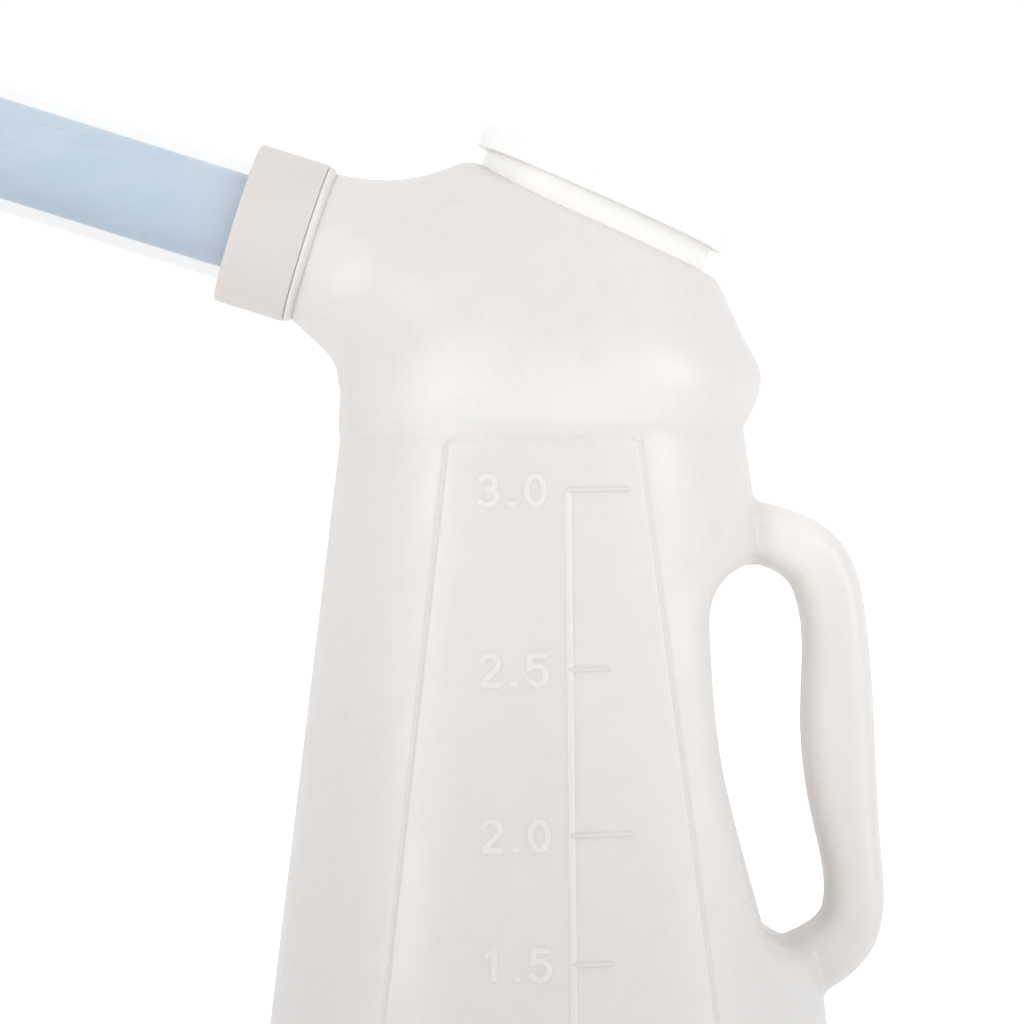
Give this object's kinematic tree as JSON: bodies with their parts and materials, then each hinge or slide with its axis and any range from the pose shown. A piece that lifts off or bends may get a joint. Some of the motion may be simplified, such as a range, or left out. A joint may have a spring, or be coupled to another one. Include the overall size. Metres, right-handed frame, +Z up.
{
  "type": "calf feeding bottle",
  "caption": "Cone-shaped plastic milk jug with a loop handle, a slanted filler lid, and a straight feeding tube with a teat held by a screw collar",
  "frame": {"origin": "middle of the jug's base, on the surface it stands on", "axes": "+Z up, +X towards the handle, -X towards the spout, the XZ plane is the jug's plane of symmetry"},
  "size_m": [0.3467, 0.1671, 0.3462],
  "materials": {
    "jug_white": "milky blow-moulded polyethylene, slightly translucent",
    "lid_white": "white moulded polyethylene",
    "collar_white": "warm white moulded polypropylene",
    "tail_white": "natural moulded polypropylene",
    "seal_rubber": "grey food-grade rubber",
    "tube_clear": "clear flexible vinyl",
    "tube_blue": "light blue vinyl inner layer",
    "teat_rubber": "soft natural red-brown rubber"
  },
  "bodies": {
    "jug": {"jug_body": "jug_white"},
    "lid": {"fill_lid": "lid_white", "lid_seal": "seal_rubber"},
    "tube": {"feeding_tube": "tube_clear", "tube_lining": "tube_blue", "tube_tail": "tail_white", "spout_seal": "seal_rubber"},
    "collar": {"spout_collar": "collar_white"},
    "teat": {"calf_teat": "teat_rubber"}
  },
  "joints": [
    {"name": "lid_lift", "type": "slide", "parent": "jug", "child": "lid", "axis": [0.4163, 0, 0.9092], "range_m": [0, 0.04]},
    {"name": "tube_draw", "type": "slide", "parent": "jug", "child": "tube", "axis": [-0.9511, 0, 0.309], "range_m": [0, 0.012]},
    {"name": "collar_turn", "type": "hinge", "parent": "tube", "child": "collar", "pos_m": [-0.0639, 0, 0.276], "axis": [-0.9511, 0, 0.309], "range_deg": [0, 1080]},
    {"name": "teat_pull", "type": "slide", "parent": "tube", "child": "teat", "axis": [-0.9511, 0, 0.309], "range_m": [0, 0.04]}
  ],
  "couplings": [
    {"joint": "collar_turn", "follows": "tube_draw", "rad_per_m": 1570.8}
  ]
}
